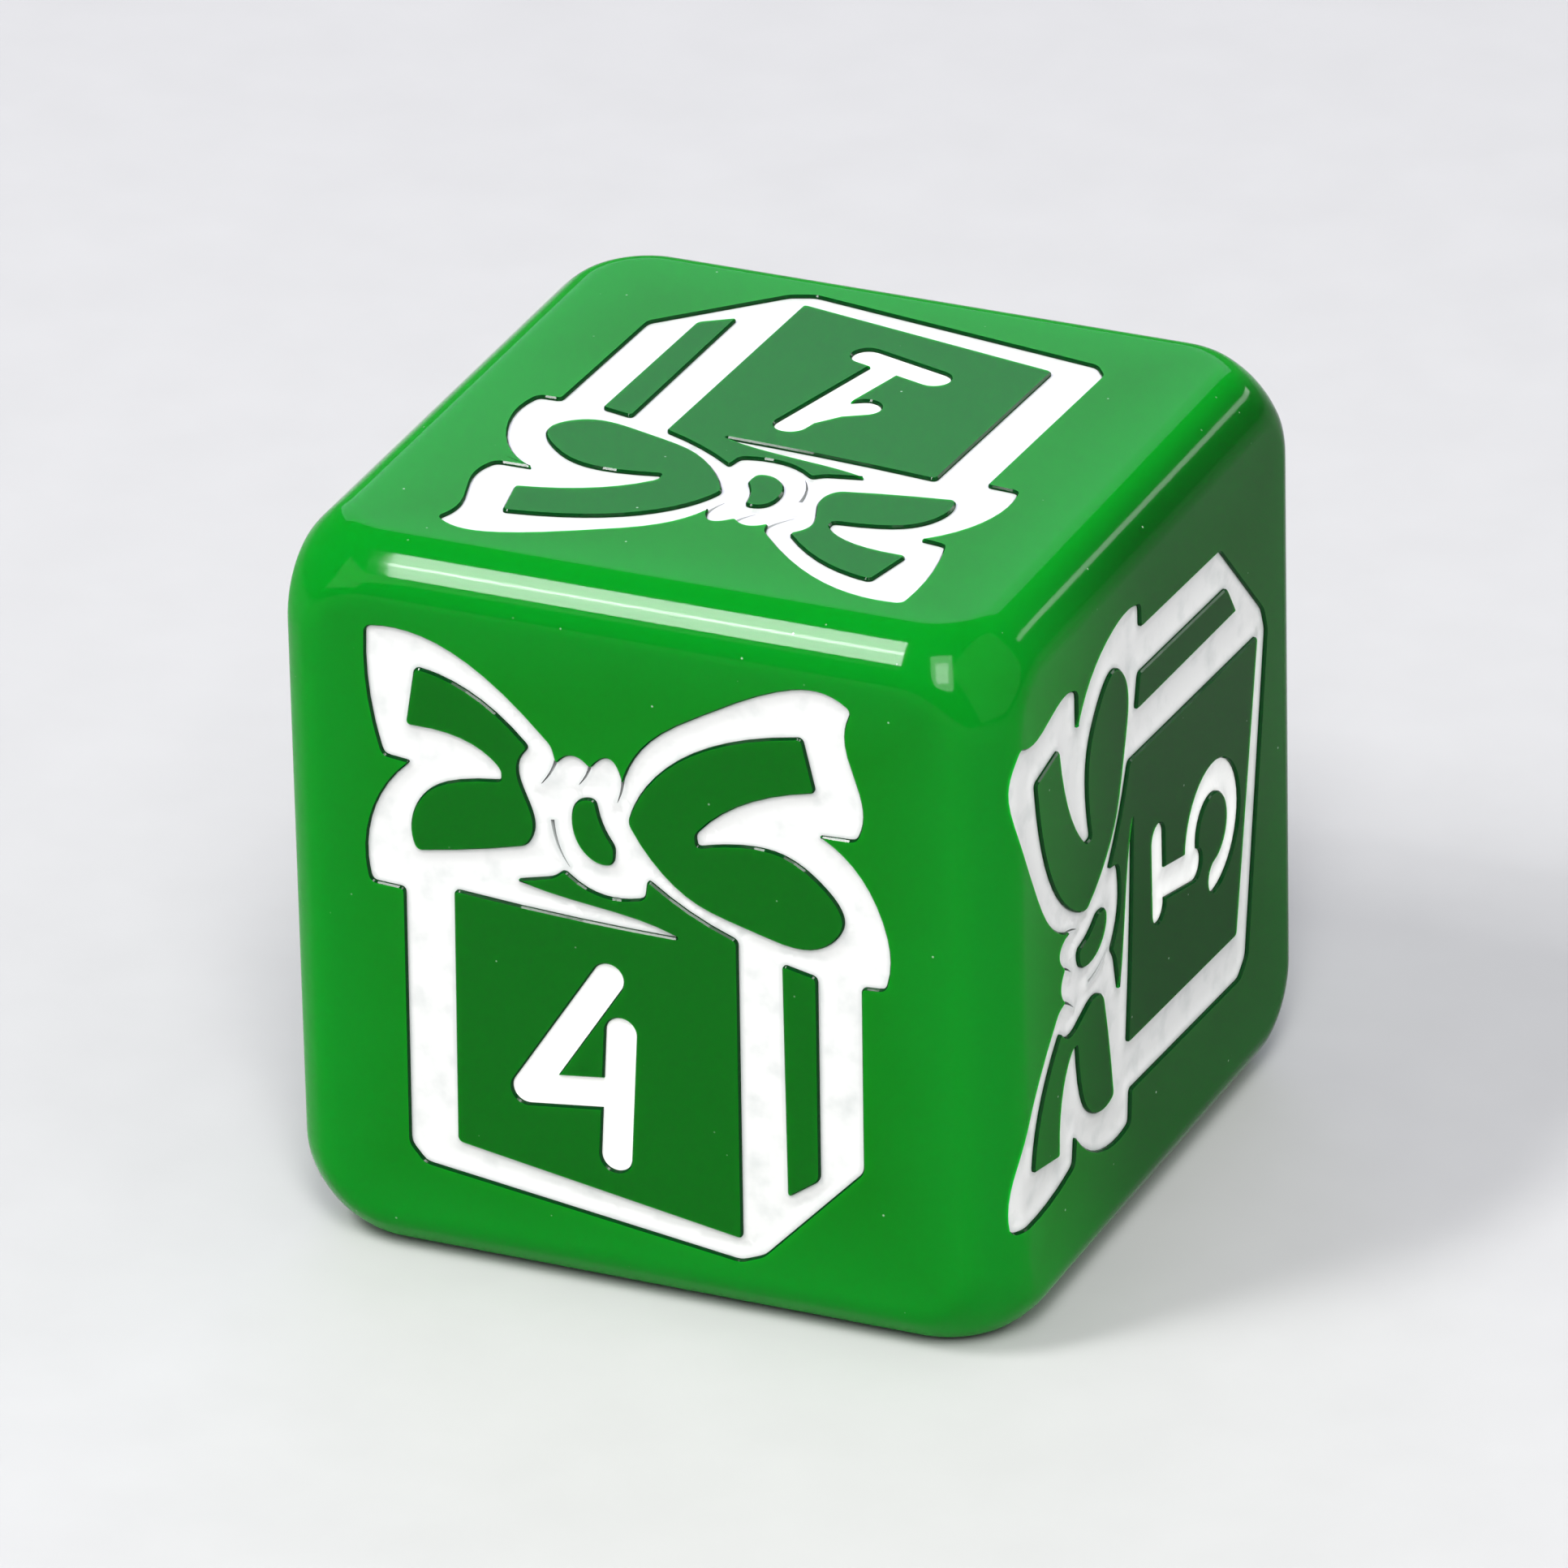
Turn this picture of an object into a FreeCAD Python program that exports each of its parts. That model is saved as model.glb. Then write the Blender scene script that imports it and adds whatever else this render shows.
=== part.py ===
"""Six-sided die with a gift-box drawing and a numeral cut into each face and filled with paint.

The block stands on its face with the 6, centred on the Z axis: the 4 faces -Y, the 5 faces +X
and the 1 faces +Z. Opposite faces add up to seven. All sizes are in millimetres.
"""
import FreeCAD, Part
import math
import os
import Sketcher

V = FreeCAD.Vector
doc = FreeCAD.newDocument("Die")

# ---------------------------------------------------------------- sizes
SIZES = [
    ("edge_length", 16.0, "distance between two opposite faces"),
    ("corner_radius", 2.6, "rounding of the block that the corners and the edges' middles belong to"),
    ("face_trim", 0.37, "taken off each side of that round block to leave a flat face"),
    ("rim_radius", 0.9, "rounding where a flat face meets the round block"),
    ("face_margin", 1.4, "from a face's sharp outline to the top and bottom of its drawing"),
    ("engraving_depth", 0.45, "depth of the drawing and the numeral below their face"),
    ("paint_recess", 0.08, "how far the paint stays below the face"),
    ("outline_round", 0.13, "how far from a corner of the drawing its rounding starts"),
    ("numeral_stroke", 0.68, "width of a numeral's stroke"),
]
sheet = doc.addObject("Spreadsheet::Sheet", "Sizes")
for row, (alias, value, note) in enumerate(SIZES, start=1):
    sheet.set("A%d" % row, alias)
    sheet.set("B%d" % row, str(value))
    sheet.set("C%d" % row, note)
    sheet.setAlias("B%d" % row, alias)
doc.recompute()

# The drawing is laid out on a grid of equal steps, with (0, 0) in the middle of the face.
GRID_HEIGHT = 82.5
STEP = (sheet.edge_length - 2 * sheet.face_margin) / GRID_HEIGHT

# ---------------------------------------------------------------- the drawing, in grid steps
# A point is (right, up). A third value of 1 marks a corner; the others lie on smooth curves.
GIFT_OUTLINE = [
    (-36.3, 39.6, 1), (-29.5, 39.6), (-19.0, 34.4), (-11.2, 27.2, 1),
    (-10.6, 24.8, 1), (-8.2, 26.4), (-5.9, 25.0, 1), (-3.4, 26.9), (-1.5, 23.6, 1),
    (2.8, 30.6), (10.0, 35.4), (20.0, 40.4), (25.0, 41.4), (29.9, 39.4, 1),
    (29.9, 31.0), (31.1, 27.0), (30.2, 21.6, 1), (25.0, 21.4, 1),
    (30.6, 16.8), (33.6, 11.0), (34.6, 5.4), (33.8, 1.4, 1),
    (30.6, 1.2, 1), (30.4, -25.0, 1), (16.4, -39.6, 1), (13.2, -40.9, 1),
    (-30.4, -35.2, 1), (-32.4, -32.8, 1), (-32.0, 3.6, 1), (-36.6, 3.8, 1),
    (-37.1, 9.0), (-35.6, 15.0), (-30.6, 21.6, 1), (-34.4, 22.0, 1), (-36.0, 29.0),
]
LEFT_BOW_ISLAND = [
    (-29.8, 35.0, 1), (-24.0, 33.6), (-18.0, 30.0), (-14.2, 26.4, 1),
    (-15.8, 22.6), (-14.2, 18.0), (-15.0, 12.6, 1), (-22.0, 10.8), (-30.2, 9.2, 1),
    (-30.8, 13.6), (-28.4, 18.0), (-24.0, 20.2), (-18.2, 21.2, 1), (-18.2, 22.6, 1),
    (-21.4, 25.2), (-25.6, 26.5), (-31.2, 26.7, 1),
]
KNOT_ISLAND = [
    (-8.1, 19.8), (-8.6, 16.8), (-7.6, 13.8), (-5.4, 12.0), (-2.9, 12.2, 1),
    (-2.7, 14.6, 1), (-4.2, 17.0), (-5.2, 20.8, 1),
]
RIGHT_BOW_ISLAND = [
    (23.2, 34.6, 1), (24.9, 27.2, 1), (19.0, 25.6), (13.0, 22.6), (8.4, 18.4, 1),
    (8.6, 16.8, 1), (14.0, 18.0), (20.0, 17.8), (25.4, 14.6), (28.4, 9.4), (25.4, 5.7),
    (16.0, 6.2), (7.6, 9.0), (2.6, 13.2), (-0.9, 18.4, 1), (0.6, 22.2), (5.2, 27.6), (12.0, 31.6),
]
FRONT_PANEL = [
    (-25.2, 4.6, 1), (-25.8, -31.4, 1), (13.5, -37.8, 1), (13.8, 4.6, 1),
    (8.0, 7.0), (1.6, 11.0, 1), (1.2, 8.2, 1), (-6.6, 8.1), (-9.8, 10.2, 1),
    (-11.4, 8.9, 1), (-16.6, 7.6, 1), (-8.0, 6.0), (0.0, 5.0), (5.9, 3.4, 1), (-8.0, 3.6),
]
SIDE_PANEL = [(19.8, 2.4, 1), (19.9, -30.6, 1), (24.4, -27.4, 1), (24.6, 1.4, 1)]
GIFT = [GIFT_OUTLINE, LEFT_BOW_ISLAND, KNOT_ISLAND, RIGHT_BOW_ISLAND, FRONT_PANEL, SIDE_PANEL]

# A numeral is a list of strokes. A stroke is the places that its straight runs join, and it may
# start with a round run, ("arc", centre, radius, from angle, to angle), in degrees from the right.
NUMERALS = {
    "one": [
        [(-0.6, -3.4), (-5.0, -23.6)],
        [(-1.6, -6.4), (-4.2, -9.8), (-7.4, -11.8)],
        [(-12.2, -23.4), (-1.2, -26.4)],
    ],
    "two": [
        [("arc", (-7.8, -10.2), 5.9, 160, -35), (-14.2, -28.8), (-1.4, -29.4)],
    ],
    "three": [
        [("arc", (-7.9, -9.8), 5.3, 150, -125)],
        [("arc", (-8.0, -22.4), 7.0, 85, -155)],
    ],
    "four": [
        [(-4.2, -4.2), (-15.8, -21.9), (-3.2, -20.3)],
        [(-2.6, -11.6), (-3.7, -29.3)],
    ],
    "five": [
        [(-10.6, -5.4), (-1.0, -4.9)],
        [(-7.6, -5.2), (-9.9, -17.4)],
        [("arc", (-7.2, -23.0), 7.0, 105, -172)],
    ],
    "six": [
        [("arc", (9.6, -18.4), 24.0, 143, 190)],
        [("arc", (-7.7, -22.6), 6.6, -170, 30)],
        [("arc", (-7.5, -22.9), 6.2, -10, 165)],
    ],
}

# Face name: origin plane, turns about the plane's X, Y and Z, side of the plane, numeral, and the
# drawing's shift right and up in grid steps, its turn in degrees and its size.
FACES = {
    "front": ("XZ_Plane", (0, 0, 0), 1, "four", (0.0, 0.0), 0.0, 1.0),
    "top": ("XY_Plane", (0, 0, 180), 1, "one", (1.9, -0.2), -1.4, 0.965),
    "right": ("YZ_Plane", (0, 0, 90), 1, "five", (3.0, 4.6), -2.2, 1.01),
    "left": ("YZ_Plane", (0, 180, 0), -1, "two", (0.8, 0.6), 0.8, 1.0),
    "back": ("XZ_Plane", (0, 180, 0), -1, "three", (-0.6, 0.4), -0.8, 1.0),
    "bottom": ("XY_Plane", (180, 0, 0), -1, "six", (0.5, -0.4), 0.6, 0.98),
}


def origin_plane(body, role):
    """The origin plane of a body with this role."""
    return [item for item in body.Origin.OriginFeatures if item.Role == role][0]


# ---------------------------------------------------------------- outlines of the drawing
def on_face(point, face):
    """A grid point, in millimetres on the face's own sketch."""
    (shift_right, shift_up), turn, size = FACES[face][4:7]
    angle = math.radians(turn)
    right, up = point[0] * size, point[1] * size
    return V((right * math.cos(angle) - up * math.sin(angle) + shift_right) * STEP,
             (right * math.sin(angle) + up * math.cos(angle) + shift_up) * STEP, 0)


def spline(points):
    """A smooth curve through the points."""
    curve = Part.BSplineCurve()
    curve.interpolate(Points=points)
    return curve


def rounded_loop(points, face):
    """A closed outline: lines and curves between its corners, each corner rounded."""
    places = [on_face(point, face) for point in points]
    corners = [index for index, point in enumerate(points) if len(point) == 3]
    runs = []
    for start, end in zip(corners, corners[1:] + [corners[0] + len(points)]):
        run = [places[index % len(points)] for index in range(start, end + 1)]
        runs.append(Part.LineSegment(run[0], run[1]) if len(run) == 2 else spline(run))
    trimmed = []
    for run in runs:
        cut = min(sheet.outline_round, run.length() / 3)
        first = run.parameterAtDistance(cut, run.FirstParameter)
        last = run.parameterAtDistance(run.length() - cut, run.FirstParameter)
        if isinstance(run, Part.LineSegment):
            trimmed.append(Part.LineSegment(run.value(first), run.value(last)))
        else:
            piece = run.copy()
            piece.segment(first, last)
            trimmed.append(piece)
    loop = []
    for index, piece in enumerate(trimmed):
        following = trimmed[(index + 1) % len(trimmed)]
        corner = runs[index].value(runs[index].LastParameter)
        bend = Part.BezierCurve()
        bend.setPoles([piece.value(piece.LastParameter), corner,
                       following.value(following.FirstParameter)])
        loop += [piece, bend.toBSpline()]
    return loop


def stroke_face(stroke, face):
    """The flat shape of one round-ended stroke."""
    half = sheet.numeral_stroke / 2
    edges = []
    places = stroke
    if stroke[0][0] == "arc":
        (right, up), radius, start, end = stroke[0][1:]
        angles = [math.radians(angle) for angle in (start, (start + end) / 2, end)]
        spots = [(right + radius * math.cos(angle), up + radius * math.sin(angle))
                 for angle in angles]
        edges.append(Part.Arc(*[on_face(spot, face) for spot in spots]).toShape())
        places = [spots[2]] + stroke[1:]
    spots = [on_face(place, face) for place in places]
    edges += [Part.makeLine(start, end) for start, end in zip(spots, spots[1:])]
    if len(edges) > 1 or len(places) == 1:
        return Part.Wire(edges).makeOffset2D(half, 0, True, False, False)
    start, end = spots
    ahead = (end - start).normalize() * half
    side = ahead.cross(V(0, 0, 1))
    return Part.Face(Part.Wire([
        Part.makeLine(start + side, end + side),
        Part.Arc(end + side, end + ahead, end - side).toShape(),
        Part.makeLine(end - side, start - side),
        Part.Arc(start - side, start - ahead, start + side).toShape()]))


def gift_curves(face):
    """The gift box and its bow: the outer outline and the islands left standing in it."""
    return [curve for loop in GIFT for curve in rounded_loop(loop, face)]


def numeral_curves(face):
    """The numeral that stands in the gift box's front panel: its strokes joined into one."""
    strokes = [stroke_face(stroke, face) for stroke in NUMERALS[FACES[face][3]]]
    shape = strokes[0].fuse(strokes[1:]).removeSplitter() if len(strokes) > 1 else strokes[0]
    curves = []
    for edge in shape.Edges:
        ends = (edge.FirstParameter, edge.LastParameter)
        start, middle, end = [edge.valueAt(place) for place in (ends[0], sum(ends) / 2, ends[1])]
        straight = isinstance(edge.Curve, Part.Line)
        curves.append(Part.LineSegment(start, end) if straight else Part.Arc(start, middle, end))
    return curves


# ---------------------------------------------------------------- features
def face_sketch(body, name, face, curves):
    """A sketch that lies in one face of the block and is seen from outside."""
    plane, (turn_x, turn_y, turn_z), side = FACES[face][:3]
    sketch = body.newObject("Sketcher::SketchObject", name)
    sketch.AttachmentSupport = [(origin_plane(body, plane), "")]
    sketch.MapMode = "FlatFace"
    sketch.AttachmentOffset = FreeCAD.Placement(V(), FreeCAD.Rotation(turn_z, turn_y, turn_x))
    sketch.setExpression("AttachmentOffset.Base.z", "%d * Sizes.edge_length / 2" % side)
    sketch.addGeometry(curves, False)
    return sketch


def lift(piece):
    """Bodies are made round the block's centre and then stand on z = 0."""
    piece.setExpression("Placement.Base.z", "Sizes.edge_length / 2")


def square_block(name, size):
    """A body with a cube round the origin, its size bound to an expression."""
    body = doc.addObject("PartDesign::Body", name)
    square = body.newObject("Sketcher::SketchObject", name + "_square")
    square.AttachmentSupport = [(origin_plane(body, "XY_Plane"), "")]
    square.MapMode = "FlatFace"
    half = sheet.edge_length / 2
    spots = [V(-half, -half, 0), V(half, -half, 0), V(half, half, 0), V(-half, half, 0)]
    for index in range(4):
        square.addGeometry(Part.LineSegment(spots[index], spots[(index + 1) % 4]), False)
    for index in range(4):
        square.addConstraint(Sketcher.Constraint("Coincident", index, 2, (index + 1) % 4, 1))
    for index, kind in enumerate(["Horizontal", "Vertical", "Horizontal", "Vertical"]):
        square.addConstraint(Sketcher.Constraint(kind, index))
    square.addConstraint(Sketcher.Constraint("Symmetric", 0, 1, 2, 1, -1, 1))
    for kind, line, ends in (("width", 0, "DistanceX"), ("depth", 1, "DistanceY")):
        number = square.addConstraint(Sketcher.Constraint(ends, line, 1, line, 2, 2 * half))
        square.renameConstraint(number, kind)
        square.setExpression("Constraints." + kind, size)
    pad = body.newObject("PartDesign::Pad", name + "_pad")
    pad.Profile = square
    pad.Midplane = True
    pad.setExpression("Length", size)
    body.Tip = pad
    doc.recompute()
    return body


def rounding(body, base, edges, radius):
    """A fillet on these edges of a body's last feature."""
    fillet = body.newObject("PartDesign::Fillet", base.Name + "_rounding")
    fillet.Base = (base, ["Edge%d" % number for number in edges])
    fillet.setExpression("Radius", radius)
    body.Tip = fillet
    doc.recompute()


def rounded_block(name, inset):
    """A round-cornered block with six flat faces, this far inside the die's surface."""
    size = "Sizes.edge_length - 2 * " + inset
    round_block = square_block(name + "_round_block", size + " + 2 * Sizes.face_trim")
    rounding(round_block, round_block.Tip, range(1, 13), "Sizes.corner_radius - " + inset)
    body = square_block(name, size)
    trim = body.newObject("PartDesign::Boolean", name + "_flat_faces")
    trim.Type = "Common"
    trim.setObjects([round_block])
    body.Tip = trim
    doc.recompute()
    shape = trim.Shape
    flats = [face for face in shape.Faces if isinstance(face.Surface, Part.Plane)]
    rims = [number for number, edge in enumerate(shape.Edges, start=1)
            if any(edge.isSame(side) for flat in flats for side in flat.Edges)]
    rounding(body, trim, rims, "Sizes.rim_radius - " + inset)
    return body


# ---------------------------------------------------------------- the pieces
die_body = rounded_block("die_body", "0")
volumes = [die_body.Shape.Volume]
for face in FACES:
    artwork = face_sketch(die_body, face + "_artwork", face,
                          gift_curves(face) + numeral_curves(face))
    pocket = die_body.newObject("PartDesign::Pocket", face + "_engraving")
    pocket.Profile = artwork
    pocket.setExpression("Length", "Sizes.engraving_depth")
    die_body.Tip = pocket
    doc.recompute()
    volumes.append(die_body.Shape.Volume)
lift(die_body)

paint_level = rounded_block("paint_level", "Sizes.paint_recess")
lift(paint_level)


def paint_fill(name, face, curves):
    """Paint that fills an engraving from its floor up to the paint level."""
    body = doc.addObject("PartDesign::Body", name + "_prism")
    pad = body.newObject("PartDesign::Pad", name + "_pad")
    pad.Profile = face_sketch(body, name + "_sketch", face, curves)
    pad.Reversed = True
    pad.setExpression("Length", "Sizes.engraving_depth")
    body.Tip = pad
    lift(body)
    fill = doc.addObject("Part::Common", name)
    fill.Base = body
    fill.Tool = paint_level
    return fill


pieces = [die_body]
for face in FACES:
    number = FACES[face][3]
    pieces.append(paint_fill("gift_box_paint_" + number, face, gift_curves(face)))
    pieces.append(paint_fill("numeral_paint_" + number, face, numeral_curves(face)))
doc.recompute()

# ---------------------------------------------------------------- tests
for item in doc.Objects:
    if "Invalid" in item.State or "Error" in item.State:
        raise RuntimeError("%s failed: %s" % (item.Name, item.State))
for before, after, face in zip(volumes, volumes[1:], FACES):
    if after >= before - 1e-3:
        raise RuntimeError("the engraving of the %s face cuts nothing" % face)
for piece in pieces:
    piece.Label = piece.Name
    if piece.Shape.isNull() or not piece.Shape.isValid() or not piece.Shape.Solids:
        raise RuntimeError("%s has no valid solid" % piece.Label)
if len(die_body.Shape.Solids) != 1:
    raise RuntimeError("the die's body is not one solid")

# ---------------------------------------------------------------- files
os.makedirs("parts", exist_ok=True)
for piece in pieces:
    piece.Shape.exportStep("parts/%s.step" % piece.Label)
    print("%-24s %9.3f mm3  %d solid(s)" % (piece.Label, piece.Shape.Volume,
                                           len(piece.Shape.Solids)))
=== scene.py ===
"""Gift-box die: the green resin block and the white paint in its six engraved faces.

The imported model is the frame. Each visible piece is modelled round it by an operator of its own:
the resin block, the paint of the six gift boxes, the paint of the six numerals, and the stage.
"""
import math

import bmesh
import bpy
from mathutils import Matrix, Vector
from mathutils.geometry import interpolate_bezier
from mathutils.kdtree import KDTree


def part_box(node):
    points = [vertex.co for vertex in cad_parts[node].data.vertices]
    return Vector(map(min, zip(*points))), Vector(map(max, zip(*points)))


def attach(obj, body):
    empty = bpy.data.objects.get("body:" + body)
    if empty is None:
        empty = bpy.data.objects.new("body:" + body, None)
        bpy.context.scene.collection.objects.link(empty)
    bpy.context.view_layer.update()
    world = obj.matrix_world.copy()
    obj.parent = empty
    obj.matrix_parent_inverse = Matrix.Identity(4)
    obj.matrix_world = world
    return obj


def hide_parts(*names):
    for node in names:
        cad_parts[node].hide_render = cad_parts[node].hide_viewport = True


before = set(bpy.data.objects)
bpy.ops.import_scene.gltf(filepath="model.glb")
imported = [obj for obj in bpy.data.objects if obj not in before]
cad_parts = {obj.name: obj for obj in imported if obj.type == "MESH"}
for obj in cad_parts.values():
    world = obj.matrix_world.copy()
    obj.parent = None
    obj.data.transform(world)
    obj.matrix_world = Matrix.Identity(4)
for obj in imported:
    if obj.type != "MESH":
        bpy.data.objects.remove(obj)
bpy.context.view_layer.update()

bl_info = {
    "name": "Gift-Box Die",
    "version": (1, 0, 0),
    "blender": (4, 5, 0),
    "location": "3D View > Sidebar > Die",
    "description": "Models a resin die with paint-filled gift boxes and numerals on its faces",
    "category": "Add Mesh",
}

MM = 0.001
NUMBERS = ("one", "two", "three", "four", "five", "six")
# The way out of the face that carries each number.
OUTWARD = {
    "one": Vector((0, 0, 1)), "six": Vector((0, 0, -1)),
    "four": Vector((0, -1, 0)), "three": Vector((0, 1, 0)),
    "five": Vector((1, 0, 0)), "two": Vector((-1, 0, 0)),
}
# The drawing on each face as part.py lays it: the ways right and up, its shift right and up in
# hundredths of the edge, its turn in degrees and its size.
DRAWINGS = {
    "four": (Vector((1, 0, 0)), Vector((0, 0, 1)), (0.0, 0.0), 0.0, 1.0),
    "one": (Vector((-1, 0, 0)), Vector((0, -1, 0)), (1.9, -0.2), -1.4, 0.965),
    "five": (Vector((0, 0, 1)), Vector((0, -1, 0)), (3.0, 4.6), -2.2, 1.01),
    "two": (Vector((0, -1, 0)), Vector((0, 0, 1)), (0.8, 0.6), 0.8, 1.0),
    "three": (Vector((-1, 0, 0)), Vector((0, 0, 1)), (-0.6, 0.4), -0.8, 1.0),
    "six": (Vector((1, 0, 0)), Vector((0, -1, 0)), (0.5, -0.4), 0.6, 0.98),
}
# The folds in the bow's knot, each a Bezier curve: (right, up) in the drawing.
FOLDS = [
    [(-10.6, 25.6), (-11.0, 24.0), (-11.8, 22.8), (-12.8, 21.6)],
    [(-5.9, 26.0), (-6.1, 24.4), (-6.8, 23.4), (-7.6, 22.4)],
    [(-1.5, 24.6), (-1.6, 23.0), (-1.9, 22.0), (-2.4, 20.8)],
    [(-11.4, 16.8), (-11.2, 14.2), (-10.4, 12.2), (-9.2, 10.6)],
]
BODY_LOW, BODY_HIGH = [Vector(corner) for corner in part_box("die_body")]
CENTRE = (BODY_LOW + BODY_HIGH) / 2
EDGE = (BODY_HIGH - BODY_LOW).x
HALF = EDGE / 2

# A face is on a piece's outer side when the cosine between its normal and the way out is more
# than this.
OUTER_LEAN = 0.3
# A face of the block is an engraving's wall or floor when the cosine between its normal and the
# smooth surface's is less than this.
SMOOTH_LEAN = 0.95
# The height above a face that the cutters reach, so that they come out cleanly.
CUTTER_RISE = 0.5 * MM
FOLD_CUTTER_RISE = 0.3 * MM
# The cutter rises and widens by this many lips from the foot of the lip, and a sharp corner's
# shift is divided by this share at the least.
LIP_SPREAD = 1.5
LEAST_CORNER = 0.5

# The block's mesh, from the middle of a side outwards: strips over the straight part, strips over
# the corner's rounding, the rim's strips by their turn in degrees, and the last cuts' distance
# from the next side.
FLAT_STRIPS = 8
CORNER_STRIPS = 12
RIM_TURN = 3
LAST_RIM_TURN = 44
LAST_STRIPS = (0.2 * MM, 0.1 * MM)

GRID_START = 0.37
WALL_TURN = math.radians(45)
RIM_SPACING = 0.05 * MM
# A fold runs through this many places. It starts this many times its width, and ends one less.
FOLD_POINTS = 12
FOLD_TAPER = 1.2

# How fine each pattern is, in repeats to the metre.
CLOUD_SCALE = 260.0
SPECK_SCALE = 1900.0
SMEAR_SCALE = 520.0
RESIN_RELIEF_SCALE = 1500.0
PAINT_CLOUD_SCALE = 700.0
SMUDGE_SCALE = 1400.0
PAINT_RELIEF_SCALE = 2600.0
CARD_SCALE = 400.0
# Where the painted glow brightens the resin towards the edges, and where painted shade darkens it
# on the 5 face: shares of the way from the middle of the block to its sides.
EDGE_GLOW = (0.6, 1.0)
FAR_SIDE = (0.88, 0.99)
FAR_ALONG = (-1.05, 0.0)

# Each light: the way to it from the die, its distance, the way its long side runs, its width and
# height, its power in watts and its colour.
WHITE = (1.0, 1.0, 1.0)
LIGHTS = {
    "strip_softbox": ((-0.370, -0.449, 0.815), 0.4, (1, 0, 0), (0.0423, 0.15), 0.88, WHITE),
    "strip_tube": ((-0.370, -0.449, 0.815), 0.39, (1, 0, 0), (0.0413, 0.014), 0.09, WHITE),
    "corner_softbox": ((0.30, -0.60, 0.75), 0.5, (1, 0.5, 0), (0.16, 0.28), 1.45, WHITE),
    "corner_tube": ((0.30, -0.60, 0.75), 0.49, (1, 0.5, 0), (0.09, 0.15), 0.7, WHITE),
    "main_softbox": ((-0.66, -0.60, 0.46), 0.6, (1, -1, 0), (0.35, 0.35), 0.7, WHITE),
    "right_softbox": ((0.85, -0.10, 0.55), 0.6, (0, 1, 0), (0.7, 0.7), 1.15, WHITE),
    "back_softbox": ((-0.366, 0.815, 0.449), 0.6, (1, 0, 0), (0.45, 0.25), 0.65,
                     (0.98, 0.88, 1.5)),
    "edge_softbox": ((0.449, 0.815, 0.366), 0.5, (0, 1, 0), (0.3, 0.022), 0.2, WHITE),
}
SURROUND_COLOUR = (0.95, 0.98, 1.0, 1)
SURROUND_STRENGTH = 0.36
FLOOR_SIZE = 1.6
FLOOR_PLACE = (0, 0.2, 0)
# What the camera is aimed at, in edges from the middle of the die's underside.
AIM = Vector((-0.0158, -0.0039, 0.5059))
SENSOR_WIDTH = 36.0
CLIP_START = 0.01


# ---------------------------------------------------------------- settings
class DieResinSettings(bpy.types.PropertyGroup):
    """The green block."""
    corner_radius: bpy.props.FloatProperty(
        name="Corner Radius",
        description="Rounding of the block that the corners and the edges' middles belong to",
        default=2.6 * MM, unit="LENGTH")
    face_trim: bpy.props.FloatProperty(
        name="Face Trim", description="Taken off each side of that block to leave a flat face",
        default=0.37 * MM, unit="LENGTH")
    rim_radius: bpy.props.FloatProperty(
        name="Rim Radius", description="Rounding where a flat face meets the round block",
        default=0.9 * MM, unit="LENGTH")
    lip: bpy.props.FloatProperty(
        name="Engraving Lip", description="Width of the slope at the engraving's upper rim",
        default=0.035 * MM, unit="LENGTH")
    colour: bpy.props.FloatVectorProperty(
        name="Resin Colour", description="Colour of the resin in thick, clean places",
        subtype="COLOR", size=3, default=(0.0, 0.160, 0.003))
    cloudy_colour: bpy.props.FloatVectorProperty(
        name="Cloudy Colour", description="Colour of the resin where it is slightly cloudy",
        subtype="COLOR", size=3, default=(0.0, 0.180, 0.005))
    # Painted glow: the resin is made brighter along the edges and corners, where light would come
    # in from two sides.
    edge_painted_glow: bpy.props.FloatVectorProperty(
        name="Edge Colour", description="Colour of the edges, where light comes in from two sides",
        subtype="COLOR", size=3, default=(0.0, 0.215, 0.009))
    # Painted shade: the resin that the paint encloses is darker.
    island_painted_shade: bpy.props.FloatVectorProperty(
        name="Island Colour", description="Colour of the resin that the paint encloses and shades",
        subtype="COLOR", size=3, default=(0.0, 0.112, 0.003))
    # Painted shade: the resin is darkened far along the 5 face, away from the 4's edge.
    far_shade_level: bpy.props.FloatProperty(
        name="Far Shade Level", description="How much of its colour the resin keeps far along the 5 face",
        default=0.36, min=0.0, max=1.0, subtype="FACTOR")
    dust_colour: bpy.props.FloatVectorProperty(
        name="Dust Colour", description="Colour of the few specks of dust",
        subtype="COLOR", size=3, default=(0.35, 0.5, 0.36))
    # Painted shade: the engravings' walls and lips are made dark.
    groove_painted_shade: bpy.props.FloatVectorProperty(
        name="Groove Colour", description="Colour of the engravings' walls and lips",
        subtype="COLOR", size=3, default=(0.0, 0.03, 0.004))
    translucency: bpy.props.FloatProperty(
        name="Translucency", description="Share of the light that scatters inside the resin",
        default=1.0, min=0.0, max=1.0, subtype="FACTOR")
    roughness: bpy.props.FloatProperty(
        name="Roughness", description="Roughness of the polished surface",
        default=0.07, min=0.0, max=1.0, subtype="FACTOR")


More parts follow.
